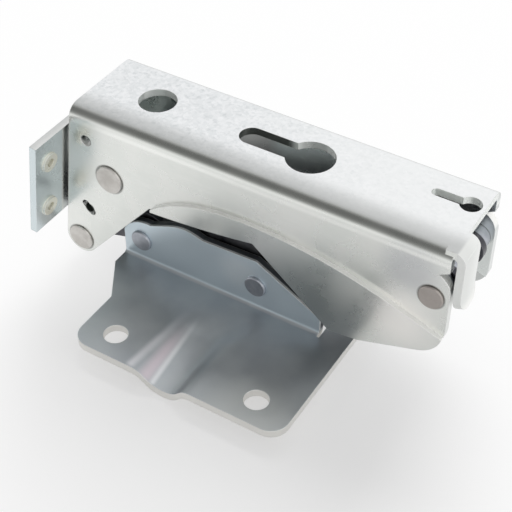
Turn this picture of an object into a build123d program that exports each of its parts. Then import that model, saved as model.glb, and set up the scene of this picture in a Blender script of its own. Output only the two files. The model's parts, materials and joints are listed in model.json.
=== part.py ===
import os
from math import atan2, cos, degrees, floor, hypot, pi, radians, sin

from build123d import *

# Concealed hinge for a built-in fridge door, all sizes in mm.
# The foot is screwed to the door and the channel to the cabinet.
# Origin: midway between the foot's two screw holes, on the underside of its wings.
# +X runs along the channel, +Y from the foot's front edge towards the channel, +Z up.

# Foot: one folded sheet with two ears
foot_sheet = 2.2
screw_pitch = 42.0
screw_hole_d = 6.4
foot_front = 7.2
foot_left_margin = 9.2
foot_right_margin = 10.4
foot_corner_r = 5.0
foot_flare_start = 10.5
foot_flare_width = 4.0
groove_depth = 2.5
groove_length = 19.0
groove_left = -11.6
groove_floor_left = -6.0
groove_floor_right = 1.8
groove_right = 6.4
groove_spread = 6.0
ear_fold_r = 1.2
ear_left_overhang = 5.7
ear_right_inset = 8.4
ear_end_height = 7.4
ear_slit = 0.6

# Channel: one folded sheet with a bent-out tab
channel_sheet = 2.0
channel_length = 105.0
channel_width = 27.0
channel_left = -48.6
channel_front = 23.8
channel_top = 48.2
channel_bend_r = 3.2
panel_offset = 1.2
panel_lap = 1.2
tab_reach = 12.2
tab_top_drop = 6.9
tab_height = 29.3
tab_gap = 0.9
tab_boss_d = 5.4
tab_boss_height = 0.7
tab_hole_d = 2.4
tab_hole_inset = 6.3
tab_hole_pitch = 15.5
tab_hole_from_edge = 5.2
upper_hole_d = 3.2
upper_hole_place = (4.2, -9.2)
lower_slot_length = 5.0
lower_slot_width = 2.4
lower_slot_place = (2.6, -32.0)
lower_slot_slant = -48.0
web_hole_d = 10.0
web_hole_x = 17.6
key_slot_width = 6.5
key_slot_x = 45.5
key_travel = 16.3
key_head_d = 12.4
end_key_inset = 3.6
end_key_travel = 8.5
end_key_width = 2.6
end_key_head_d = 5.4
end_key_y = 4.0
tongue_inset = 0.6
tongue_width = 8.0
tongue_root = 2.0
tongue_bend_r = 2.1
tongue_drop = 9.0
tongue_flare_r = 14.0
tongue_flare_angle = 22.0
tongue_corner_r = 3.0

# Pivots as steps along X and Z in the closed position
anchor_from_corner = (10.6, -19.1)
arm_from_corner = (-1.3, -44.2)
link_from_end = (-3.7, -14.8)
foot_link_from_arm = (18.2, 4.6)
foot_arm_from_arm = (54.0, 5.6)
lobe_r = 4.9
flange_overhang = 4.5

# Motion: the foot turns by open_angle, the arm and link by fixed shares of it
open_angle = 95.0
foot_per_arm = 1.32
link_per_arm = -0.16

# Links and rivets
arm_sheet = 2.0
link_sheet = 2.0
layer_gap = 0.3
running_gap = 0.06
rivet_fit = 0.02
rivet_shank_r = 2.5
rivet_head_height = 0.6
anchor_head_rim = 1.6
arm_head_rim = 1.3
link_head_rim = 0.7
foot_head_rim = 0.6
foot_head_height = 0.8
head_rounding = 0.6
arm_end_rim = 3.1
arm_waist = 4.6
arm_bow = 3.0
link_end_rim = 1.9
link_waist = 4.4
link_bow = 2.0
link_eye_rim = 2.6
sleeve_wall = 1.1

# Closing spring wound on the arm pivot
spring_wire_d = 1.0
spring_turn_gap = 0.15
spring_sleeve_gap = 0.3
spring_leg_gap = 0.05
spring_tail = 4.0
spring_pin_reach = 15.0
spring_pin_r = 1.5
axial_play = 0.1


def offset_from(point, by):
    """A side-view point that lies away from another one."""
    return (point[0] + by[0], point[1] + by[1])


# Places that follow from the sizes above
channel_mid = channel_front + channel_width / 2
channel_back = channel_front + channel_width
channel_right = channel_left + channel_length
inner_front = channel_front + channel_sheet
web_corner = (channel_left, channel_top)
web_end = (channel_right, channel_top)
anchor_pivot = offset_from(web_corner, anchor_from_corner)
arm_pivot = offset_from(web_corner, arm_from_corner)
link_pivot = offset_from(web_end, link_from_end)
foot_link_pivot = offset_from(arm_pivot, foot_link_from_arm)
foot_arm_pivot = offset_from(arm_pivot, foot_arm_from_arm)
foot_left = screw_pitch / 2 + foot_left_margin
foot_right = screw_pitch / 2 + foot_right_margin
ear_left = foot_link_pivot[0] - ear_left_overhang
ear_right = foot_right - ear_right_inset
ear_front = inner_front + foot_head_height + 2 * layer_gap
link_front = ear_front + foot_sheet + layer_gap
arm_front = link_front + link_sheet + layer_gap
arm_inner = arm_front + arm_sheet
sleeve_bore_r = rivet_shank_r + running_gap
sleeve_r = sleeve_bore_r + sleeve_wall
coil_r = sleeve_r + spring_sleeve_gap + spring_wire_d / 2


def side(y):
    """Drawing plane across the hinge at depth y, with X to the right and Z up."""
    return Plane(origin=(0, y, 0), x_dir=(1, 0, 0), z_dir=(0, -1, 0))


def other_side(y):
    """The same depth on the far side of the channel's middle."""
    return 2 * channel_mid - y


def save(part, label):
    part.label = label
    export_step(part, "parts/" + label + ".step")


def turned(point, centre, angle):
    """A side-view point after a turn about centre, in degrees, anticlockwise."""
    dx = point[0] - centre[0]
    dz = point[1] - centre[1]
    c = cos(radians(angle))
    s = sin(radians(angle))
    return (centre[0] + c * dx - s * dz, centre[1] + s * dx + c * dz)


def between(start, end, share, rise=0.0):
    """A point on the line from start to end, lifted square to it by rise."""
    dx = end[0] - start[0]
    dz = end[1] - start[1]
    length = hypot(dx, dz)
    x = start[0] + share * dx - rise * dz / length
    z = start[1] + share * dz + rise * dx / length
    return (x, z)


def shank(centre, radius, y_from, y_to, mode=Mode.ADD):
    """A round bar along Y, added to the part being built, or a hole cut from it."""
    with Locations(Location((centre[0], y_from, centre[1]), (-90, 0, 0))):
        Cylinder(radius, y_to - y_from, align=(Align.CENTER, Align.CENTER, Align.MIN), mode=mode)


def tube(centre, inner_r, outer_r, y_from, y_to):
    """A sleeve or washer along Y."""
    with BuildPart() as piece:
        shank(centre, outer_r, y_from, y_to)
        shank(centre, inner_r, y_from, y_to, mode=Mode.SUBTRACT)
    return piece.part


def strap(start, end, start_r, end_r, waist, bow):
    """Side view of a bowed flat link between two round ends."""
    with BuildSketch() as view:
        with BuildLine() as middle:
            ThreePointArc(start, between(start, end, 0.5, bow), end)
        trace(middle.line, line_width=2 * waist)
        with Locations(start):
            Circle(start_r)
        with Locations(end):
            Circle(end_r)
    return view.sketch


os.makedirs("parts", exist_ok=True)


# Channel
flange_end = (link_pivot[0] + flange_overhang, channel_top)
end_drop = (channel_right, channel_top - 6.0)
end_nick = offset_from(flange_end, (-3.3, -7.4))
end_round = offset_from(flange_end, (-1.0, -9.3))
end_top = offset_from(flange_end, (0, -12.5))
end_bottom = offset_from(flange_end, (0, -24.4))
belly_round = offset_from(flange_end, (-1.7, -29.0))
belly_right = offset_from(flange_end, (-5.8, -31.9))
notch_out = offset_from(foot_arm_pivot, (23.7, 0.6))
belly_left = offset_from(notch_out, (8.0, 0.9))
notch_low = offset_from(foot_arm_pivot, (1.8, 18.8))
notch_round = offset_from(foot_arm_pivot, (-14.1, 16.4))
kink = offset_from(anchor_pivot, (12.2, -4.5))
step_start = offset_from(kink, (1.0, 0.8))
step_rise = offset_from(web_corner, (35.2, -16.6))
step_crest = offset_from(web_corner, (54.6, -14.4))
step_fall = offset_from(flange_end, (-28.3, -17.0))
step_end = offset_from(flange_end, (0, -25.9))
lobe_side_angle = -41.0
lobe_left = offset_from(arm_pivot, (-lobe_r, 0))


def flange_outline():
    """Side view of the channel, down to the lobe at the arm pivot."""
    lobe_bottom = offset_from(arm_pivot, (0, -lobe_r))
    lobe_side = turned(offset_from(arm_pivot, (lobe_r, 0)), arm_pivot, lobe_side_angle)
    with BuildSketch() as view:
        with BuildLine():
            Polyline(lobe_left, web_corner, web_end, end_drop, end_nick)
            ThreePointArc(end_nick, end_round, end_top)
            Line(end_top, end_bottom)
            ThreePointArc(end_bottom, belly_round, belly_right)
            Polyline(belly_right, belly_left, notch_out, notch_low)
            ThreePointArc(notch_low, notch_round, kink)
            Line(kink, lobe_side)
            ThreePointArc(lobe_side, lobe_bottom, lobe_left)
        make_face()
    return view.sketch


def below_step(drop):
    """Side view of all that lies under the pressed step, lowered by drop."""
    step_curve = (step_start, step_rise, step_crest, step_fall, step_end)
    points = [offset_from(point, (0, -drop)) for point in step_curve]
    first = points[0]
    last = points[-1]
    right = last[0] + lobe_r
    bottom = arm_pivot[1] - 2 * lobe_r
    with BuildSketch() as view:
        with BuildLine():
            Spline(*points)
            Polyline(last, (right, last[1]), (right, bottom), (first[0], bottom), first)
        make_face()
    return view.sketch


with BuildPart() as channel:
    with BuildSketch(Plane.YZ.offset(channel_left - lobe_r * 2)):
        with Locations((channel_mid, channel_top)):
            Rectangle(channel_width, 2 * channel_top, align=(Align.CENTER, Align.MAX))
        corners = vertices().group_by(Axis.Y)[-1]
        fillet(corners, channel_bend_r)
        with BuildSketch(mode=Mode.SUBTRACT):
            with Locations((channel_mid, channel_top - channel_sheet)):
                Rectangle(channel_width - 2 * channel_sheet, 2 * channel_top, align=(Align.CENTER, Align.MAX))
            inside = vertices().group_by(Axis.Y)[-1]
            fillet(inside, channel_bend_r - channel_sheet)
    extrude(amount=channel_length + 6 * lobe_r)
    with BuildSketch(side(channel_front)):
        add(flange_outline())
    extrude(amount=-channel_width, mode=Mode.INTERSECT)
    with BuildSketch(side(channel_front)):
        add(below_step(panel_lap))
    extrude(amount=-channel_width, mode=Mode.SUBTRACT)
    for y_out in (channel_front - panel_offset, other_side(channel_front - panel_offset) - channel_sheet):
        with BuildSketch(side(y_out)):
            add(flange_outline())
            add(below_step(0), mode=Mode.INTERSECT)
        extrude(amount=-channel_sheet)
    # End plate folded in from the far flange's sloped edge; its tab stands out past the near flange
    tab_drop = tab_top_drop + tab_height
    edge = Vector(web_corner[0] - lobe_left[0], 0, web_corner[1] - lobe_left[1]).normalized()
    edge_foot = Vector(web_corner[0], 0, web_corner[1]) - edge * tab_drop
    square = edge.cross(Vector(0, -1, 0))
    with BuildSketch(Plane(origin=edge_foot, x_dir=square, z_dir=edge)):
        with Locations((0, channel_back - channel_sheet - tab_gap)):
            Circle(tab_gap + channel_sheet)
            Circle(tab_gap, mode=Mode.SUBTRACT)
            Rectangle(channel_width, channel_width, align=(Align.MAX, Align.MIN), mode=Mode.INTERSECT)
        with Locations((-tab_gap, channel_front - tab_reach)):
            plate_width = channel_width + tab_reach - channel_sheet - tab_gap
            Rectangle(channel_sheet, plate_width, align=(Align.MAX, Align.MIN))
    extrude(amount=tab_height)
    tab_face = Plane(origin=edge_foot - square * tab_gap, x_dir=(0, 1, 0), z_dir=square)
    tab_hole_y = channel_front - tab_reach + tab_hole_from_edge
    tab_holes = [(tab_hole_y, tab_hole_inset + step * tab_hole_pitch) for step in (0, 1)]
    with BuildSketch(tab_face):
        with Locations(*tab_holes):
            Circle(tab_boss_d / 2)
    extrude(amount=tab_boss_height)
    with BuildSketch(tab_face.offset(tab_boss_height)):
        with Locations(*tab_holes):
            Circle(tab_hole_d / 2)
    extrude(amount=-(channel_sheet + tab_boss_height), mode=Mode.SUBTRACT)
    # Small openings beside the tab
    with BuildSketch(side(channel_front)):
        with Locations(offset_from(web_corner, upper_hole_place)):
            Circle(upper_hole_d / 2)
        with Locations(Location(offset_from(web_corner, lower_slot_place), lower_slot_slant)):
            SlotOverall(lower_slot_length, lower_slot_width)
    extrude(amount=-channel_sheet, mode=Mode.SUBTRACT)
    # Screw openings in the web
    key_x = channel_left + key_slot_x
    with BuildSketch(Plane.XY.offset(channel_top)):
        with Locations((channel_left + web_hole_x, channel_mid)):
            Circle(web_hole_d / 2)
        with Locations((key_x + key_travel, channel_mid)):
            Circle(key_head_d / 2)
        with Locations((key_x + key_travel / 2, channel_mid)):
            SlotCenterToCenter(key_travel, key_slot_width)
        with Locations((channel_right - end_key_inset, channel_mid + end_key_y)):
            Circle(end_key_head_d / 2)
        with Locations((channel_right - end_key_inset - end_key_travel / 2, channel_mid + end_key_y)):
            SlotCenterToCenter(end_key_travel, end_key_width)
    extrude(amount=-channel_sheet, mode=Mode.SUBTRACT)
    # Tongue bent down from the end of the web, flared out at its round tip
    tongue_y = channel_front + tongue_inset
    tongue_mid_z = channel_top - channel_sheet / 2
    tongue_x = channel_right + tongue_bend_r
    tongue_low_z = tongue_mid_z - tongue_bend_r - tongue_drop
    flare_centre = (tongue_x + tongue_flare_r, tongue_low_z)
    flare_half = turned((tongue_x, tongue_low_z), flare_centre, tongue_flare_angle / 2)
    flare_end = turned((tongue_x, tongue_low_z), flare_centre, tongue_flare_angle)
    bend_centre = (channel_right, tongue_mid_z - tongue_bend_r)
    bend_half = turned((tongue_x, bend_centre[1]), bend_centre, 45)
    with BuildSketch(side(tongue_y)):
        with BuildLine() as tongue_line:
            Line((channel_right - tongue_root, tongue_mid_z), (channel_right, tongue_mid_z))
            ThreePointArc((channel_right, tongue_mid_z), bend_half, (tongue_x, bend_centre[1]))
            Line((tongue_x, bend_centre[1]), (tongue_x, tongue_low_z))
            ThreePointArc((tongue_x, tongue_low_z), flare_half, flare_end)
        trace(tongue_line.line, line_width=channel_sheet)
    extrude(amount=-tongue_width)
    tongue_tip = faces().sort_by_distance((flare_end[0], tongue_y + tongue_width / 2, flare_end[1]))[0]
    fillet(tongue_tip.edges().filter_by(Axis.Y, reverse=True), tongue_corner_r)
    # Rivet holes through both flanges
    for pivot in (anchor_pivot, arm_pivot, link_pivot):
        shank(
            pivot,
            rivet_shank_r + rivet_fit,
            channel_front - channel_sheet,
            channel_back + channel_sheet,
            mode=Mode.SUBTRACT,
        )
save(channel.part, "channel")


# Foot
ear_back = other_side(ear_front)
fold_y = ear_front - ear_fold_r
fold_z = foot_sheet + ear_fold_r


def groove_section(depth, spread):
    """Section of the foot's sheet with a smooth pressed groove, its right side moved out by spread."""
    left = -2 * foot_left
    right = 2 * foot_right
    with BuildSketch() as view:
        with BuildLine():
            for level in (0.0, foot_sheet):
                Line((left, level), (groove_left, level))
                Spline(
                    (groove_left, level),
                    (groove_floor_left, level - depth),
                    (groove_floor_right + spread, level - depth),
                    (groove_right + spread, level),
                    tangents=((1, 0), (1, 0)),
                )
                Line((groove_right + spread, level), (right, level))
            Line((left, 0), (left, foot_sheet))
            Line((right, 0), (right, foot_sheet))
        make_face()
    return view.sketch


def ear_outline(bottom):
    """Side view of one ear, up to its sloped top."""
    heel = (ear_left, foot_link_pivot[1] + 1.6)
    heel_round = offset_from(foot_link_pivot, (-3.6, 4.4))
    shoulder = offset_from(foot_link_pivot, (3.0, 6.4))
    crest = offset_from(foot_arm_pivot, (-21.5, 9.0))
    dip = offset_from(foot_arm_pivot, (-16.2, 7.8))
    brow = offset_from(foot_arm_pivot, (0.1, 8.4))
    tail = (ear_right, ear_end_height)
    with BuildSketch() as view:
        with BuildLine():
            Line((ear_left, bottom), heel)
            ThreePointArc(heel, heel_round, shoulder)
            Spline(shoulder, crest, dip, tangents=((1, 0.36), (1, -0.35)))
            Polyline(dip, brow, tail, (ear_right, bottom), (ear_left, bottom))
        make_face()
    return view.sketch


with BuildPart() as foot:
    # The groove gets shallower all the way to the ear, and widens on its last stretch
    depth_left = 1 - groove_length / (fold_y + foot_front)
    with BuildSketch(side(-foot_front)):
        add(groove_section(groove_depth, 0))
    with BuildSketch(side(groove_length - foot_front)):
        add(groove_section(groove_depth * depth_left, 0))
    with BuildSketch(side(fold_y)):
        add(groove_section(0, groove_spread))
    loft(ruled=True)
    with BuildSketch(Plane.XY.offset(-2 * groove_depth)):
        with BuildLine():
            Polyline(
                (-foot_left, -foot_front),
                (foot_right, -foot_front),
                (foot_right, fold_y),
                (ear_left, fold_y),
                (ear_left, fold_y - foot_flare_width),
                (-foot_left, foot_flare_start),
                (-foot_left, -foot_front),
            )
        make_face()
        fillet(vertices().group_by(Axis.Y)[0], foot_corner_r)
    extrude(amount=4 * groove_depth + foot_sheet, mode=Mode.INTERSECT)
    # Near ear, bent up along the whole wing
    with BuildSketch(Plane.YZ.offset(ear_left)):
        with Locations((fold_y, fold_z)):
            Circle(fold_z)
            Circle(ear_fold_r, mode=Mode.SUBTRACT)
            Rectangle(fold_z, fold_z, align=(Align.MIN, Align.MAX), mode=Mode.INTERSECT)
    extrude(amount=ear_right - ear_left)
    with BuildSketch(side(ear_front)):
        add(ear_outline(fold_z))
    extrude(amount=-foot_sheet)
    # Far ear, on a strip that runs past the end of the near one
    with BuildSketch(side(ear_back - foot_sheet)):
        add(ear_outline(0))
    extrude(amount=-foot_sheet)
    strip_left = ear_right + ear_slit
    heel_left = ear_right - 2 * foot_sheet
    with BuildSketch(Plane.XY):
        with BuildLine():
            Polyline(
                (strip_left, fold_y - foot_sheet),
                (foot_right, fold_y - foot_sheet),
                (foot_right, ear_back),
                (heel_left, ear_back),
                (heel_left, ear_back - foot_sheet),
                (strip_left, ear_back - 2 * foot_sheet),
                (strip_left, fold_y - foot_sheet),
            )
        make_face()
    extrude(amount=foot_sheet)
    with Locations((-screw_pitch / 2, 0, 0), (screw_pitch / 2, 0, 0)):
        Cylinder(screw_hole_d / 2, 4 * foot_sheet, mode=Mode.SUBTRACT)
    for pivot in (foot_arm_pivot, foot_link_pivot):
        shank(pivot, rivet_shank_r + rivet_fit, channel_front, channel_back, mode=Mode.SUBTRACT)
save(foot.part, "foot")


# Swing arm: two cheeks between the arm pivot and the foot
arm_turn = open_angle / foot_per_arm
arm_end_r = rivet_shank_r + arm_end_rim
arm_angle = degrees(atan2(foot_arm_pivot[1] - arm_pivot[1], foot_arm_pivot[0] - arm_pivot[0]))
spring_pin_drop = coil_r - spring_wire_d / 2 - spring_leg_gap - spring_pin_r
arm_length = hypot(foot_arm_pivot[0] - arm_pivot[0], foot_arm_pivot[1] - arm_pivot[1])
spring_pin_place = between(arm_pivot, foot_arm_pivot, spring_pin_reach / arm_length, -spring_pin_drop)


def arm_cheek(y_from):
    with BuildPart() as cheek:
        with BuildSketch(side(y_from)):
            add(strap(arm_pivot, foot_arm_pivot, arm_end_r, arm_end_r, arm_waist, arm_bow))
            with Locations(spring_pin_place):
                Circle(2 * spring_pin_r)
        extrude(amount=-arm_sheet)
        for pivot in (arm_pivot, foot_arm_pivot):
            shank(pivot, rivet_shank_r + running_gap, y_from, y_from + arm_sheet, mode=Mode.SUBTRACT)
        shank(spring_pin_place, spring_pin_r + rivet_fit, y_from, y_from + arm_sheet, mode=Mode.SUBTRACT)
    return cheek.part


save(arm_cheek(arm_front), "arm_near")
save(arm_cheek(other_side(arm_inner)), "arm_far")


# Control link: two cheeks between the channel's far end and the foot
def eye_play():
    """Furthest that the foot's rivet strays in the link's eye over the whole swing."""
    steps = 24
    furthest = 0.0
    for step in range(steps + 1):
        turn = -arm_turn * step / steps
        arm_tip = turned(foot_arm_pivot, arm_pivot, turn)
        offset = (foot_link_pivot[0] - foot_arm_pivot[0], foot_link_pivot[1] - foot_arm_pivot[1])
        on_foot = turned((arm_tip[0] + offset[0], arm_tip[1] + offset[1]), arm_tip, foot_per_arm * turn)
        on_link = turned(foot_link_pivot, link_pivot, link_per_arm * turn)
        furthest = max(furthest, hypot(on_foot[0] - on_link[0], on_foot[1] - on_link[1]))
    return furthest


link_eye_r = rivet_shank_r + eye_play() + layer_gap


def link_cheek(y_from):
    with BuildPart() as cheek:
        with BuildSketch(side(y_from)):
            add(
                strap(
                    foot_link_pivot,
                    link_pivot,
                    link_eye_r + link_eye_rim,
                    rivet_shank_r + link_end_rim,
                    link_waist,
                    link_bow,
                )
            )
        extrude(amount=-link_sheet)
        shank(foot_link_pivot, link_eye_r, y_from, y_from + link_sheet, mode=Mode.SUBTRACT)
        shank(link_pivot, rivet_shank_r + running_gap, y_from, y_from + link_sheet, mode=Mode.SUBTRACT)
    return cheek.part


save(link_cheek(link_front), "link_near")
save(link_cheek(other_side(link_front + link_sheet)), "link_far")


# Rivets
def through_rivet(pivot, head_rim, y_face, head_height):
    """A rivet through both walls, with a low rounded head outside each."""
    far_face = other_side(y_face)
    head_r = rivet_shank_r + head_rim
    with BuildPart() as rivet:
        shank(pivot, rivet_shank_r, y_face, far_face)
        shank(pivot, head_r, y_face - head_height, y_face)
        shank(pivot, head_r, far_face, far_face + head_height)
        rims = edges().filter_by(GeomType.CIRCLE).group_by(Axis.Y)
        fillet(rims[0] + rims[-1], head_height * head_rounding)
    return rivet.part


def stub_rivet(pivot, y_head, y_tail):
    """A short rivet through one ear and the link beside it."""
    towards = 1 if y_tail > y_head else -1
    y_shoulder = y_head + towards * foot_head_height
    with BuildPart() as rivet:
        shank(pivot, rivet_shank_r + foot_head_rim, min(y_head, y_shoulder), max(y_head, y_shoulder))
        shank(pivot, rivet_shank_r, min(y_shoulder, y_tail), max(y_shoulder, y_tail))
        rims = edges().filter_by(GeomType.CIRCLE).group_by(Axis.Y)
        fillet(rims[0] if towards > 0 else rims[-1], foot_head_height * head_rounding)
    return rivet.part


save(through_rivet(anchor_pivot, anchor_head_rim, channel_front, rivet_head_height), "anchor_rivet")
save(through_rivet(arm_pivot, arm_head_rim, channel_front, rivet_head_height), "arm_rivet")
save(through_rivet(link_pivot, link_head_rim, channel_front, rivet_head_height), "link_rivet")
save(through_rivet(foot_arm_pivot, foot_head_rim, ear_front, foot_head_height), "foot_arm_rivet")
stub_head = ear_front - foot_head_height
stub_tail = link_front + link_sheet
save(stub_rivet(foot_link_pivot, stub_head, stub_tail), "foot_link_rivet_near")
save(stub_rivet(foot_link_pivot, other_side(stub_head), other_side(stub_tail)), "foot_link_rivet_far")


# Sleeves and spacers that keep the cheeks apart on the rivets
def save_pair(pivot, outer_r, y_from, y_to, label):
    save(tube(pivot, sleeve_bore_r, outer_r, y_from, y_to), label + "_near")
    save(tube(pivot, sleeve_bore_r, outer_r, other_side(y_to), other_side(y_from)), label + "_far")


anchor_sleeve_r = coil_r - spring_wire_d / 2 - spring_leg_gap
across = (inner_front + axial_play, other_side(inner_front + axial_play))
save(tube(anchor_pivot, sleeve_bore_r, anchor_sleeve_r, *across), "anchor_sleeve")
between_arms = (arm_inner + axial_play, other_side(arm_inner + axial_play))
save(tube(arm_pivot, sleeve_bore_r, sleeve_r, *between_arms), "arm_sleeve")
save(tube(foot_arm_pivot, sleeve_bore_r, sleeve_r, *between_arms), "foot_sleeve")
between_links = (link_front + link_sheet + axial_play, other_side(link_front + link_sheet + axial_play))
save(tube(link_pivot, sleeve_bore_r, sleeve_r, *between_links), "link_sleeve")
save_pair(arm_pivot, sleeve_r, inner_front + axial_play, arm_front - axial_play, "arm_spacer")
save_pair(link_pivot, sleeve_r, inner_front + axial_play, link_front - axial_play, "link_spacer")
ear_inner = ear_front + foot_sheet
save_pair(foot_arm_pivot, sleeve_r, ear_inner + axial_play, arm_front - axial_play, "foot_washer")


# Pin across the arm that the spring pulls on
with BuildPart() as spring_pin:
    shank(spring_pin_place, spring_pin_r, arm_front, other_side(arm_front))
save(spring_pin.part, "spring_pin")


# Closing spring: a coil on the arm pivot, one leg on the anchor sleeve, one under the arm's pin
anchor_angle = degrees(
    atan2(anchor_pivot[1] - arm_pivot[1], anchor_pivot[0] - arm_pivot[0])
)
anchor_reach = hypot(anchor_pivot[0] - arm_pivot[0], anchor_pivot[1] - arm_pivot[1])
anchor_leg = anchor_reach + spring_tail
pin_leg = spring_pin_reach + spring_tail
coil_start = anchor_angle + 90
coil_end = arm_angle - 90
spring_pitch = spring_wire_d + spring_turn_gap
pin_leg_lean = pin_leg * spring_pitch / (2 * pi * coil_r)
part_turn = ((coil_end - coil_start) % 360) / 360
coil_room = between_arms[1] - between_arms[0] - spring_wire_d - pin_leg_lean
coil_turns = floor(coil_room / spring_pitch - part_turn) + part_turn
coil_length = spring_pitch * coil_turns
coil_y = between_arms[0] + spring_wire_d / 2 + pin_leg_lean + coil_length
coil_plane = Plane(
    origin=(arm_pivot[0], coil_y, arm_pivot[1]),
    x_dir=(cos(radians(coil_start)), 0, sin(radians(coil_start))),
    z_dir=(0, -1, 0),
)
with BuildPart() as closing_spring:
    with BuildLine() as wire_line:
        turns = Helix(spring_pitch, coil_length, coil_r)
        leg_end = turns @ 0 - (turns % 0) * anchor_leg
        Line(leg_end, turns @ 0)
        Line(turns @ 1, turns @ 1 + (turns % 1) * pin_leg)
    with BuildSketch(Plane(origin=leg_end, z_dir=turns % 0)):
        Circle(spring_wire_d / 2)
    sweep(path=wire_line.wire())
save(closing_spring.part.moved(coil_plane.location), "closing_spring")
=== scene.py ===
import json
from math import cos, radians, sin

import bpy
from mathutils import Matrix, Vector


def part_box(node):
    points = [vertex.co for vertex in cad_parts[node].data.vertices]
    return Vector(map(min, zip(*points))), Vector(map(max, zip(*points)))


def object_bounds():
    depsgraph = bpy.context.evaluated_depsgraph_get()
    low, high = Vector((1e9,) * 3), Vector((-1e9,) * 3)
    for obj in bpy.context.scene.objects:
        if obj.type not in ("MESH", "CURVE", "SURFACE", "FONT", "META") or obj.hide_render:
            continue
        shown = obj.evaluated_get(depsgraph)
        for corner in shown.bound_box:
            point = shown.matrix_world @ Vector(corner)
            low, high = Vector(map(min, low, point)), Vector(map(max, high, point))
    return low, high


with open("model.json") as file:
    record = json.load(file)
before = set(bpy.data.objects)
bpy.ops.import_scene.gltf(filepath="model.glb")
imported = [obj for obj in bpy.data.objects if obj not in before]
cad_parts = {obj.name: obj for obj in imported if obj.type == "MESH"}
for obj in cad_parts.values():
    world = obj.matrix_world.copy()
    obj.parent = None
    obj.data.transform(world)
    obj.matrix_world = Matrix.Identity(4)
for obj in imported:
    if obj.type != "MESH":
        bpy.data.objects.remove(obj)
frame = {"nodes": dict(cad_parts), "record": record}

# Fridge door hinge of zinc-plated sheet steel on a pale floor, in metres.

cad_low, cad_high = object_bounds()
nodes = frame["nodes"]
MM = 0.001

# Camera, as the object was photographed
camera_azimuth = 31.57
camera_elevation = 42.5
camera_aim = Vector((5.85, 24.48, 22.93)) * MM
camera_distance = 300.5 * MM
camera_lens = 85.5
camera_sensor = 36.0
camera_clip = 0.01

# The channel's sheet in millimetres, for colours that differ inside (painted shade), on top and on
# the tongue (painted highlight)
sheet = 2.0
panel_offset = 1.2
channel_width = 27.0
tongue_reach = 3.6
channel_high = Vector(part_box("channel")[1]) / MM
inside_back = channel_high.y - panel_offset - sheet
inside_front = inside_back - channel_width + 2 * sheet
web_under = channel_high.z - sheet
tongue_start = channel_high.x - tongue_reach
tab_back = inside_front - sheet - panel_offset
ledge_top = 42.0
bend_r = 3.2
flange_face = inside_front - sheet
web_front = flange_face + bend_r
flange_top = channel_high.z - bend_r
end_plate = -46.5
boss_r = 2.7
boss_hole_r = 1.0

# Stretches along the channel: start, end and softness, or just start and end. They place the panel's
# painted reflection, the slot wall's painted shade, the inside's painted deep shade, the web's
# painted sheen and the inside's painted light.
panel_shade = (-1.0, 35.0, 11.0)
slot_wall = (-10.0, 6.5, 1.5)
deep_shade_stretch = (-20.0, -3.0, 3.0)
web_sheen_stretch = (-20.0, 40.0)
lit_inside_stretch = (20.0, 30.0)

# Which way a face looks, from 1 straight along an axis to -1 against it
top_facing = (0.75, 0.97)
ledge_facing = (0.15, 0.4)
bend_facing = (0.3, 0.85, 0.15)
wall_facing = (0.3, 0.5)
end_facing = (-0.95, -0.8)
cut_facing = (0.4, 0.7)
front_facing = (-0.95, -0.6)
rim_facing = (0.2, 0.5)
sharp_edge = (0.98, 0.75)

# Levels of noise between which a colour or the roughness changes
cloudy = (0.3, 0.7)
grainy = (0.4, 0.8)
mottled = (0.48, 0.72)
dull_mottled = (0.35, 0.65)
rough_noise = (0.3, 0.75)

# The channel's colours: pairs that vary over the surface, tints with their share, and plain ones
flange_greys = ((0.75, 0.77, 0.74), (0.82, 0.83, 0.80))
end_greys = ((0.50, 0.52, 0.53), (0.66, 0.68, 0.69))
web_greys = ((0.80, 0.82, 0.83), (0.91, 0.92, 0.93))
# Painted shade: the inside greener and darker than the flanges
inside_shade_greens = ((0.54, 0.68, 0.67), (0.64, 0.78, 0.77))
flange_grain = (0.2, (0.87, 0.88, 0.86))
# Painted dark reflection on the lower panel
panel_reflection_grey = (0.5, (0.36, 0.40, 0.40))
# Painted shade: the back flange darker than the front of the same plate
back_shade_grey = (0.7, (0.56, 0.58, 0.58))
# Painted highlight along the flange just under the front bend
fold_line_highlight = (0.7, (0.96, 0.97, 0.94))
web_mottle = (0.5, (0.58, 0.61, 0.62))
# Painted sheen that whitens the web to the right
web_sheen_white = (0.7, (0.94, 0.95, 0.95))
web_shade = (0.6, (0.38, 0.39, 0.38))
# Painted highlight on the tongue
tongue_highlight_white = (0.7, (0.88, 0.89, 0.87))
# Painted dark reflection along the front bend
bend_dark_reflection = (0.75, (0.30, 0.31, 0.29))
# Painted highlight on sharp edges
channel_edge_highlight = (0.5, (0.90, 0.90, 0.89))
# Painted shade in a ring round each rivet head
rivet_ring_shade = (0.75, (0.20, 0.20, 0.19))
# Painted deep shade along the middle of the inside
inside_deep_shade = (0.95, (0.02, 0.02, 0.03))
# Painted light on the inside to the right
inside_painted_light = (0.7, (0.86, 0.88, 0.88))
# Painted reflection: the tab's face darker and bluish than the flange
tab_reflection_blue = (0.66, 0.73, 0.75)
# Painted highlight on the ledge of the panel's step
ledge_highlight_white = (0.98, 0.98, 0.96)
# Painted highlight on the raised bosses, and painted shade in their holes below
boss_highlight_cream = (0.88, 0.87, 0.78)
boss_hole_shade = (0.14, 0.15, 0.13)
# Painted shade in the small flange holes
hole_shade_dark = (0.05, 0.06, 0.05)
# Painted light on the walls of the web's holes, and painted shade on the slot's wall below
wall_lit_pale = (0.94, 0.97, 0.94)
wall_shade_dark = (0.10, 0.11, 0.10)
channel_rough = (0.24, 0.32)
pale_rougher = 0.2
ledge_rougher = 0.15
wall_less_metallic = 0.7

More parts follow.
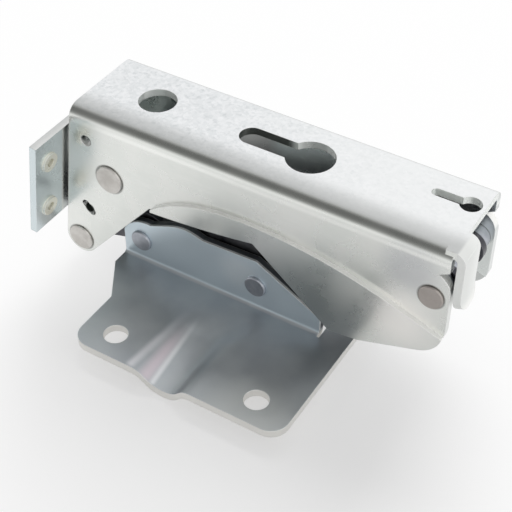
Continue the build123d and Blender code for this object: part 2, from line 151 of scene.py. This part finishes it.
# Small holes in the flange, with painted shade inside: middle of the wall and reach in millimetres
shaded_holes = (
    ((-44.7, flange_face + 1.2, 39.2), 1.7),
    ((-45.7, flange_face + 1.2, 16.1), 2.1),
)

# Painted reflections on the flanges, dark and pale: middle and reach in millimetres, share, colour
flange_reflections = (
    ((22.0, 24.0, 21.0), 17.0, 0.25, (0.38, 0.42, 0.43)),
    ((47.0, 24.0, 39.0), 11.0, 0.55, (0.46, 0.47, 0.50)),
    ((45.0, 22.6, 24.0), 12.0, 0.80, (0.98, 0.96, 0.93)),
)
reflection_core = 0.2

# Painted reflections along the foot's groove, bright, pink and dark: ends, half width, share, colour
groove_reflections = (
    ((-11.8, -6.0), (-9.4, 19.0), 1.9, 0.75, (0.93, 0.93, 0.97)),
    ((-7.4, -6.0), (-7.8, 15.0), 2.6, 0.50, (0.84, 0.68, 0.75)),
    ((-5.2, -6.4), (-6.6, 19.0), 1.1, 0.60, (0.93, 0.94, 0.96)),
    ((3.2, -6.4), (4.0, 18.0), 1.9, 0.45, (0.26, 0.28, 0.29)),
)
streak_full = 0.4

# The foot's places in millimetres and its colours
wing_top = 2.2
ear_foot = 3.0
ear_face = 27.2
# Middle, core and reach of the right wing's painted highlight
wing_highlight_spot = ((22.0, -5.0, 2.2), 4.0, 17.0)
# Middle, core and reach of the ear's painted highlight
ear_highlight_spot = ((-1.3, 27.2, 11.8), 1.5, 8.0)
foot_greys = ((0.46, 0.49, 0.52), (0.52, 0.55, 0.57))
foot_grain = (0.15, (0.50, 0.53, 0.55))
# Painted highlight on the right wing
wing_highlight = (0.4, (0.68, 0.69, 0.65))
# Painted highlight on the ear
ear_highlight = (0.5, (0.92, 0.98, 1.0))
# Painted highlight on the foot's sharp edges
foot_edge_highlight = (0.8, (0.92, 0.92, 0.91))
# Painted light: upright faces paler and bluer than the wings of the same plate
ear_lit_blue = (0.70, 0.80, 0.86)
cut_warm = (0.80, 0.79, 0.76)
# Painted highlight on the front of the ear's rim
rim_highlight = (0.94, 0.96, 0.97)
rim_dark = (0.10, 0.11, 0.12)
foot_rough = (0.32, 0.40)
foot_metallic = 0.8
ear_less_metallic = 0.15
rim_less_metallic = 0.4

# Colours and roughness of the links, rivets and spring
# Painted shade: the links near black
link_shade_greys = ((0.06, 0.06, 0.07), (0.14, 0.14, 0.15))
# Painted highlight on the links' edges
link_edge_highlight = (0.4, (0.40, 0.40, 0.40))
link_rough = (0.28, 0.42)
rivet_browns = ((0.52, 0.50, 0.47), (0.64, 0.62, 0.59))
# Painted shade on the rivets between the flanges
rivet_shaded_greys = ((0.40, 0.42, 0.46), (0.50, 0.52, 0.56))
rivet_dark_brown = (0.7, (0.34, 0.30, 0.28))
# Painted highlight on the rivets' edges
rivet_edge_highlight = (0.3, (0.72, 0.71, 0.69))
rivet_rough = (0.30, 0.46)
spring_greys = ((0.10, 0.10, 0.10), (0.22, 0.21, 0.20))
spring_rough = (0.22, 0.38)
bevel_samples = 6

# Light and floor
floor_z = cad_low[2]
floor_size = 6.0
floor_white = (0.97, 0.97, 0.97, 1.0)
full_white = (1.0, 1.0, 1.0, 1.0)
floor_glow = 0.45
far_glow = 0.93
shade_middle = (20.0, -12.0, 0.0)
shade_core = 25.0
shade_reach = 110.0
sky_level = 0.5
dim_direction = Vector((-0.39, -0.68, 0.63)).normalized()
dim_core = 12.0
dim_spread = 48.0
dim_level = 0.3
key_azimuth = 196.0
key_elevation = 40.0
key_distance = 2.4
key_size = 1.8
key_power = 48.0
fill_azimuth = 65.0
fill_elevation = 35.0
fill_distance = 1.0
fill_size = 0.9
fill_power = 0.8


class Graph:
    """The node tree of a material or world, with short calls that add and join its nodes."""

    def __init__(self, owner, output):
        owner.use_nodes = True
        self.owner = owner
        self.tree = owner.node_tree
        self.tree.nodes.clear()
        self.output = self.tree.nodes.new(output)

    def link(self, source, target):
        self.tree.links.new(source, target)

    def feed(self, value, socket):
        """Joins a socket to an input, or sets the input to a plain value."""
        if isinstance(value, bpy.types.NodeSocket):
            self.link(value, socket)
        else:
            socket.default_value = value

    def node(self, kind, **inputs):
        made = self.tree.nodes.new(kind)
        for name, value in inputs.items():
            self.feed(value, made.inputs[name.replace("_", " ")])
        return made

    def math(self, operation, a, b=0.0):
        made = self.tree.nodes.new("ShaderNodeMath")
        made.operation = operation
        self.feed(a, made.inputs[0])
        self.feed(b, made.inputs[1])
        return made.outputs["Value"]

    def vector(self, operation, a, b=(0.0, 0.0, 0.0)):
        made = self.tree.nodes.new("ShaderNodeVectorMath")
        made.operation = operation
        self.feed(a, made.inputs[0])
        self.feed(b, made.inputs[1])
        return made

    def span(self, value, low, high, to_low=0.0, to_high=1.0):
        """A smooth change from to_low to to_high while value goes from low to high."""
        made = self.tree.nodes.new("ShaderNodeMapRange")
        made.interpolation_type = "SMOOTHSTEP"
        self.feed(value, made.inputs["Value"])
        made.inputs["From Min"].default_value = low
        made.inputs["From Max"].default_value = high
        made.inputs["To Min"].default_value = to_low
        made.inputs["To Max"].default_value = to_high
        return made.outputs["Result"]

    def fade(self, value, low, high):
        """Share that falls smoothly from 1 to 0 while value goes from low to high."""
        return self.span(value, low, high, 1.0, 0.0)

    def within(self, value, low, high, soft):
        """Share that is 1 where value lies between low and high, fading over soft."""
        above = self.span(value, low - soft, low + soft)
        below = self.fade(value, high - soft, high + soft)
        return self.math("MULTIPLY", above, below)

    def both(self, first, *others):
        """Share that is 1 only where each of the shares is."""
        for share in others:
            first = self.math("MULTIPLY", first, share)
        return first

    def blend(self, share, first, second):
        """One number over another by share."""
        return self.node("ShaderNodeMix", Factor=share, A=first, B=second).outputs["Result"]

    def mix(self, share, first, second):
        """One colour over another by share."""
        made = self.tree.nodes.new("ShaderNodeMix")
        made.data_type = "RGBA"
        colours = [s for s in made.inputs if s.type == "RGBA"]
        self.feed(share, made.inputs["Factor"])
        for value, socket in zip((first, second), colours):
            plain = not isinstance(value, bpy.types.NodeSocket)
            self.feed((*value, 1.0) if plain else value, socket)
        return next(s for s in made.outputs if s.type == "RGBA")

    def stain(self, base, share, most, tint):
        """A tint over a base colour, by most where share is 1."""
        return self.mix(self.math("MULTIPLY", share, most), base, tint)

    def place(self, scale=(1.0, 1.0, 1.0)):
        """Coordinates in millimetres of the part's own frame, stretched by scale."""
        coords = self.tree.nodes.new("ShaderNodeTexCoord")
        mapping = self.tree.nodes.new("ShaderNodeMapping")
        self.link(coords.outputs["Object"], mapping.inputs["Vector"])
        mapping.inputs["Scale"].default_value = [s / MM for s in scale]
        return mapping.outputs["Vector"]

    def split(self, vector):
        return self.node("ShaderNodeSeparateXYZ", Vector=vector).outputs

    def spot(self):
        """The place on the part in millimetres, split into X, Y and Z."""
        return self.split(self.place())

    def direction(self):
        return self.tree.nodes.new("ShaderNodeNewGeometry").outputs["Normal"]

    def normal(self):
        """The surface's own direction, split into X, Y and Z."""
        return self.split(self.direction())

    def noise(self, size, detail=3.0, roughness=0.55, stretch=(1.0, 1.0, 1.0)):
        """Cloudy noise with features about size millimetres across."""
        made = self.node("ShaderNodeTexNoise", Scale=1.0 / size, Detail=detail, Roughness=roughness)
        self.link(self.place(stretch), made.inputs["Vector"])
        return made.outputs["Fac"]

    def cells(self, size):
        """Crystal-like patches about size millimetres across, each with its own grey."""
        made = self.node("ShaderNodeTexVoronoi", Scale=1.0 / size)
        self.link(self.place(), made.inputs["Vector"])
        return self.node("ShaderNodeSeparateColor", Color=made.outputs["Color"]).outputs["Red"]

    def near(self, centre, core, reach):
        """Share that is 1 within core millimetres of a place and 0 beyond reach."""
        gap = self.vector("DISTANCE", self.place(), centre)
        return self.fade(gap.outputs["Value"], core, reach)

    def streak(self, start, end, half_width):
        """Share that is 1 on a line seen from above, fading to its sides and towards its end."""
        run = Vector((*end, 0.0)) - Vector((*start, 0.0))
        off = self.vector("SUBTRACT", self.place((1.0, 1.0, 0.0)), (*start, 0.0)).outputs["Vector"]
        along = self.vector("DOT_PRODUCT", off, run.normalized()).outputs["Value"]
        kept = self.math("MINIMUM", self.math("MAXIMUM", along, 0.0), run.length)
        nearest = self.vector("SCALE", run.normalized())
        self.link(kept, nearest.inputs["Scale"])
        gap = self.vector("DISTANCE", off, nearest.outputs["Vector"]).outputs["Value"]
        fading = self.fade(along, streak_full * run.length, run.length)
        return self.both(fading, self.fade(gap, 0.0, half_width))

    def rounded(self, radius):
        """The surface's direction with its edges rounded by radius millimetres."""
        bevel = self.node("ShaderNodeBevel", Radius=radius * MM)
        bevel.samples = bevel_samples
        return bevel.outputs["Normal"]

    def edges(self, radius):
        """Share that is 1 on sharp edges, within radius millimetres of them."""
        dot = self.vector("DOT_PRODUCT", self.rounded(radius), self.direction())
        return self.span(dot.outputs["Value"], *sharp_edge)

    def bump(self, height, strength, distance, edge_radius=0.25):
        """Fine relief over softly rounded edges."""
        made = self.node("ShaderNodeBump", Strength=strength, Distance=distance * MM, Height=height)
        self.link(self.rounded(edge_radius), made.inputs["Normal"])
        return made.outputs["Normal"]

    def metal(self, colour, roughness, normal, metallic=1.0):
        shader = self.node(
            "ShaderNodeBsdfPrincipled",
            Base_Color=colour, Roughness=roughness, Metallic=metallic, Normal=normal,
        )
        self.link(shader.outputs["BSDF"], self.output.inputs["Surface"])
        return self.owner


def material_graph(name):
    return Graph(bpy.data.materials.new(name), "ShaderNodeOutputMaterial")


def tab_bosses():
    """Middles of the raised holes on the tab, in millimetres."""
    mount = next(m for m in frame["record"]["mounts"] if m["name"] == "tab_holes")
    middle = Vector(mount["pos_m"]) / MM
    along = Vector(mount["axis"]).cross(Vector((0, 1, 0)))
    half = along * mount["dims"]["pcd_mm"] / 2
    return middle - half, middle + half


def rivet_spot(node):
    """Middle of a rivet's head on the near flange, and the head's radius, in millimetres."""
    low, high = (Vector(corner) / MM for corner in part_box(node))
    middle = (low + high) / 2
    return Vector((middle.x, flange_face, middle.z)), (high.x - low.x) / 2


def flange_colour(g, cloud, grain, normal, spot):
    """Smooth warm plate with painted dark and pale reflections, a panel with a painted dark
    reflection, a tab painted darker and bluish as a reflection, a back with painted shade, a spangled
    end and a painted highlight along the fold line.
    """
    colour = g.mix(g.span(cloud, *cloudy), *flange_greys)
    colour = g.stain(colour, g.span(grain, *grainy), *flange_grain)
    # Painted reflections, dark and pale, on the flanges
    for middle, reach, share, tint in flange_reflections:
        colour = g.stain(colour, g.near(middle, reflection_core * reach, reach), share, tint)
    # Painted dark reflection on the lower panel, where it mirrors the foot
    panel = g.fade(spot["Y"], flange_face - 0.9, flange_face - 0.3)
    panel = g.both(panel, g.within(spot["X"], *panel_shade))
    colour = g.stain(colour, panel, *panel_reflection_grey)
    # Painted reflection on the tab's face
    colour = g.mix(g.fade(spot["Y"], tab_back - 0.6, tab_back), colour, tab_reflection_blue)
    # Painted shade on the back flange
    colour = g.stain(colour, g.span(spot["Y"], inside_back, inside_back + 0.5), *back_shade_grey)
    end = g.fade(normal["X"], *end_facing)
    colour = g.mix(end, colour, g.mix(g.cells(1.2), *end_greys))
    # Painted highlight just under the front bend
    fold_line = g.within(spot["Z"], flange_top - 1.4, flange_top - 0.2, 0.5)
    return g.stain(colour, fold_line, *fold_line_highlight)


def web_colour(g, mottle, spot):
    """Pale spangled plate with a painted sheen that whitens it to the right, and painted shade beside
    its front bend.
    """
    colour = g.mix(g.cells(0.8), *web_greys)
    colour = g.stain(colour, g.span(mottle, *mottled), *web_mottle)
    # Painted sheen, whiter to the right
    colour = g.stain(colour, g.span(spot["X"], *web_sheen_stretch), *web_sheen_white)
    return g.stain(colour, g.fade(spot["Y"], web_front - 1.0, web_front + 6.0), *web_shade)


def inside_shade_colour(g, mottle, spot):
    """Greenish plate with painted shade between the flanges, painted deep shade along the middle and
    painted light to the right.
    """
    colour = g.mix(g.span(mottle, *dull_mottled), *inside_shade_greens)
    colour = g.stain(colour, g.within(spot["X"], *deep_shade_stretch), *inside_deep_shade)
    return g.stain(colour, g.span(spot["X"], *lit_inside_stretch), *inside_painted_light)


def channel_zinc():
    """Bright zinc plate: a pale spangled web, smooth warm flanges, painted highlights on the edges,
    ledge, tongue and bosses, painted reflections, and painted shade inside and in the holes.
    """
    g = material_graph("channel_zinc")
    normal = g.normal()
    spot = g.spot()
    cloud = g.noise(9.0, detail=4.0)
    grain = g.noise(0.8, stretch=(0.1, 1.0, 1.0))
    mottle = g.noise(1.6, detail=5.0, roughness=0.7)
    top = g.span(normal["Z"], *top_facing)
    low_down = g.fade(spot["Z"], ledge_top - 1.0, ledge_top)
    ledge = g.both(g.span(normal["Z"], *ledge_facing), low_down)
    tongue = g.span(spot["X"], tongue_start, tongue_start + 0.8)
    pale = g.math("MAXIMUM", top, g.math("MAXIMUM", ledge, tongue))
    flange = flange_colour(g, cloud, grain, normal, spot)
    colour = g.mix(pale, flange, web_colour(g, mottle, spot))
    # Painted highlight on the tongue
    colour = g.stain(colour, tongue, *tongue_highlight_white)
    # Painted highlight on the ledge
    colour = g.mix(ledge, colour, ledge_highlight_white)
    # Painted dark reflection along the front bend
    bend = g.both(
        g.within(normal["Z"], *bend_facing),
        g.span(spot["Z"], web_under - 1.6, web_under),
        g.fade(spot["X"], tongue_start - 0.8, tongue_start),
    )
    colour = g.stain(colour, bend, *bend_dark_reflection)
    # Painted highlight on sharp edges
    colour = g.stain(colour, g.edges(0.3), *channel_edge_highlight)
    # Painted highlight on each boss and painted shade in its hole
    for boss in tab_bosses():
        colour = g.mix(g.near(boss, boss_r - 0.1, boss_r + 0.3), colour, boss_highlight_cream)
        colour = g.mix(g.near(boss, boss_hole_r, boss_hole_r + 0.3), colour, boss_hole_shade)
    # Painted shade round each rivet head
    for rivet in ("anchor_rivet", "arm_rivet", "link_rivet"):
        middle, head_r = rivet_spot(rivet)
        colour = g.stain(colour, g.near(middle, head_r + 0.1, head_r + 0.6), *rivet_ring_shade)
    # Painted shade between the flanges, under the web
    between = g.within(spot["Y"], inside_front, inside_back, 0.2)
    inside = g.both(
        between,
        g.fade(spot["Z"], web_under - 0.2, web_under + 0.2),
        g.math("SUBTRACT", 1.0, tongue),
        g.span(spot["X"], end_plate, end_plate + 1.0),
    )
    colour = g.mix(inside, colour, inside_shade_colour(g, mottle, spot))
    # Painted shade in the small flange holes
    for middle, reach in shaded_holes:
        colour = g.mix(g.near(middle, reach - 0.4, reach), colour, hole_shade_dark)
    # Painted light on hole walls in the web, painted shade on the slot's wall
    wall = g.both(
        between,
        g.span(spot["Z"], web_under - 0.1, web_under + 0.1),
        g.fade(normal["Z"], *wall_facing),
    )
    slot = g.within(spot["X"], *slot_wall)
    colour = g.mix(wall, colour, g.mix(slot, wall_lit_pale, wall_shade_dark))
    rough = g.span(cloud, *rough_noise, *channel_rough)
    rough = g.math("ADD", rough, g.math("MULTIPLY", pale, pale_rougher))
    rough = g.math("ADD", rough, g.math("MULTIPLY", ledge, ledge_rougher))
    metallic = g.math("SUBTRACT", 1.0, g.math("MULTIPLY", wall, wall_less_metallic))
    return g.metal(colour, rough, g.bump(grain, strength=0.06, distance=0.04), metallic)


def foot_zinc():
    """Smooth zinc plate with a blue cast that mirrors what stands over it, with painted reflections
    along the groove, painted highlights on the wing, ear, rim and edges, and the upright ear painted
    paler and bluer as if lit.
    """
    g = material_graph("foot_zinc")
    normal = g.normal()
    spot = g.spot()
    cloud = g.noise(10.0)
    grain = g.noise(0.6, stretch=(1.0, 0.12, 1.0))
    colour = g.mix(g.span(cloud, *cloudy), *foot_greys)
    colour = g.stain(colour, g.span(grain, *grainy), *foot_grain)
    # Painted reflections along the groove
    for start, end, half_width, share, tint in groove_reflections:
        colour = g.stain(colour, g.streak(start, end, half_width), share, tint)
    # Painted highlight on the right wing
    colour = g.stain(colour, g.near(*wing_highlight_spot), *wing_highlight)
    low_down = g.fade(spot["Z"], wing_top, wing_top + 0.2)
    cut_edge = g.both(g.fade(normal["Z"], *cut_facing), low_down)
    colour = g.mix(cut_edge, colour, cut_warm)
    raised = g.span(spot["Z"], wing_top, ear_foot)
    upright = g.both(raised, g.fade(normal["Y"], *front_facing))
    # Painted light on the upright ear, with its painted highlight
    colour = g.mix(upright, colour, g.stain(ear_lit_blue, g.near(*ear_highlight_spot), *ear_highlight))
    rim = g.both(
        g.fade(g.math("ABSOLUTE", normal["Y"]), *rim_facing),
        g.span(spot["Z"], ear_foot, ear_foot + 0.5),
        g.fade(spot["Y"], ear_face + 3.0, ear_face + 4.0),
    )
    shaded = g.span(spot["Y"], ear_face + 0.5, ear_face + 0.8)
    # Painted highlight on the front of the ear's rim
    colour = g.mix(rim, colour, g.mix(shaded, rim_highlight, rim_dark))
    # Painted highlight on sharp edges
    colour = g.stain(colour, g.edges(0.35), *foot_edge_highlight)
    rough = g.span(cloud, *rough_noise, *foot_rough)
    metallic = g.math("MULTIPLY", upright, ear_less_metallic)
    metallic = g.math("SUBTRACT", foot_metallic, metallic)
    metallic = g.math("SUBTRACT", metallic, g.math("MULTIPLY", rim, rim_less_metallic))
    return g.metal(colour, rough, g.bump(grain, strength=0.05, distance=0.03), metallic)


def link_zinc():
    """Plate of the arms and links inside the channel, painted near black for the shade there, with
    painted highlights on its edges.
    """
    g = material_graph("link_zinc")
    cloud = g.noise(6.0)
    grain = g.noise(0.6, detail=4.0, stretch=(0.2, 1.0, 1.0))
    colour = g.mix(g.span(cloud, *cloudy), *link_shade_greys)
    colour = g.stain(colour, g.edges(0.3), *link_edge_highlight)
    rough = g.span(cloud, *cloudy, *link_rough)
    return g.metal(colour, rough, g.bump(grain, strength=0.1, distance=0.05))


def rivet_steel():
    """Pressed rivet heads, a little brown and dull outside, painted darker for the shade between the
    flanges, with painted highlights on their edges.
    """
    g = material_graph("rivet_steel")
    cloud = g.noise(2.2, detail=5.0)
    grain = g.noise(0.4, detail=4.0)
    patches = g.span(cloud, *cloudy)
    inside = g.within(g.spot()["Y"], inside_front, inside_back, 0.2)
    colour = g.mix(patches, *rivet_browns)
    colour = g.mix(inside, colour, g.mix(patches, *rivet_shaded_greys))
    middle, head_r = rivet_spot("link_rivet")
    colour = g.stain(colour, g.near(middle, head_r + 0.4, head_r + 1.4), *rivet_dark_brown)
    colour = g.stain(colour, g.edges(0.3), *rivet_edge_highlight)
    rough = g.span(grain, *cloudy, *rivet_rough)
    return g.metal(colour, rough, g.bump(grain, strength=0.2, distance=0.05))


def spring_steel():
    """Drawn spring wire, dark and oily."""
    g = material_graph("spring_steel")
    cloud = g.noise(2.0, detail=4.0)
    colour = g.mix(g.span(cloud, *cloudy), *spring_greys)
    rough = g.span(cloud, *cloudy, *spring_rough)
    return g.metal(colour, rough, g.bump(cloud, strength=0.1, distance=0.03))


def finish_nodes():
    """Gives every CAD node the finish of its material slot."""
    makers = (channel_zinc, foot_zinc, link_zinc, rivet_steel, spring_steel)
    finishes = {maker.__name__: maker() for maker in makers}
    for subpart in frame["record"]["subparts"]:
        mesh = nodes[subpart["node"]].data
        mesh.materials.clear()
        mesh.materials.append(finishes[subpart["material_slot"]])


def floor():
    """Pale floor that glows white away from the object and keeps its shadow."""
    bpy.ops.mesh.primitive_plane_add(size=floor_size, location=(0, 0, floor_z))
    plane = bpy.context.object
    plane.name = "floor"
    g = material_graph("floor_white")
    rays = g.tree.nodes.new("ShaderNodeLightPath").outputs
    seen = g.math("MAXIMUM", rays["Is Camera Ray"], rays["Is Glossy Ray"])
    seen = g.math("MAXIMUM", seen, rays["Is Transmission Ray"])
    paper = g.node("ShaderNodeBsdfDiffuse", Color=floor_white)
    white = g.node("ShaderNodeEmission", Color=full_white, Strength=1.0)
    away = g.vector("DISTANCE", g.place((1.0, 1.0, 0.0)), shade_middle).outputs["Value"]
    glow = g.span(away, shade_core, shade_reach, floor_glow, far_glow)
    blend = g.node("ShaderNodeMixShader", Fac=g.math("MULTIPLY", seen, glow))
    g.link(paper.outputs["BSDF"], blend.inputs[1])
    g.link(white.outputs["Emission"], blend.inputs[2])
    g.link(blend.outputs["Shader"], g.output.inputs["Surface"])
    plane.data.materials.append(g.owner)


def sky():
    """White surroundings with a dim patch, as of a dark room behind the photographer."""
    world = bpy.data.worlds.new("studio")
    bpy.context.scene.world = world
    g = Graph(world, "ShaderNodeOutputWorld")
    coords = g.tree.nodes.new("ShaderNodeTexCoord")
    towards = g.vector("DOT_PRODUCT", coords.outputs["Generated"], dim_direction).outputs["Value"]
    dim = g.span(towards, cos(radians(dim_spread)), cos(radians(dim_core)), 1.0, dim_level)
    rays = g.tree.nodes.new("ShaderNodeLightPath").outputs
    shiny = g.math("MAXIMUM", rays["Is Glossy Ray"], rays["Is Transmission Ray"])
    dimmed = g.math("MULTIPLY", g.blend(shiny, sky_level, 1.0), dim)
    strength = g.blend(rays["Is Camera Ray"], dimmed, 1.0)
    background = g.node("ShaderNodeBackground", Color=full_white, Strength=strength)
    g.link(background.outputs["Background"], g.output.inputs["Surface"])


def facing(azimuth, elevation, distance):
    """Pose of something that looks at the aim point, with azimuth 0 looking along +Y."""
    az = radians(azimuth)
    el = radians(elevation)
    back = Vector((sin(az) * cos(el), -cos(az) * cos(el), sin(el)))
    right = Vector((cos(az), sin(az), 0))
    up = back.cross(right)
    turn = Matrix((right, up, back)).transposed().to_4x4()
    return Matrix.Translation(camera_aim + back * distance) @ turn


def area_light(name, azimuth, elevation, distance, size, power, mirrored=True):
    """A soft lamp that faces the object from azimuth and elevation, seen in the metal or not."""
    data = bpy.data.lights.new(name, "AREA")
    data.energy = power
    data.size = size
    lamp = bpy.data.objects.new(name, data)
    bpy.context.collection.objects.link(lamp)
    lamp.matrix_world = facing(azimuth, elevation, distance)
    lamp.visible_glossy = mirrored


def camera():
    data = bpy.data.cameras.new("camera")
    data.lens = camera_lens
    data.sensor_width = camera_sensor
    data.clip_start = camera_clip
    eye = bpy.data.objects.new("camera", data)
    bpy.context.collection.objects.link(eye)
    eye.matrix_world = facing(camera_azimuth, camera_elevation, camera_distance)
    bpy.context.scene.camera = eye


finish_nodes()
floor()
sky()
area_light("key", key_azimuth, key_elevation, key_distance, key_size, key_power, mirrored=False)
area_light("fill", fill_azimuth, fill_elevation, fill_distance, fill_size, fill_power)
camera()

bpy.context.scene.view_settings.view_transform = "Standard"
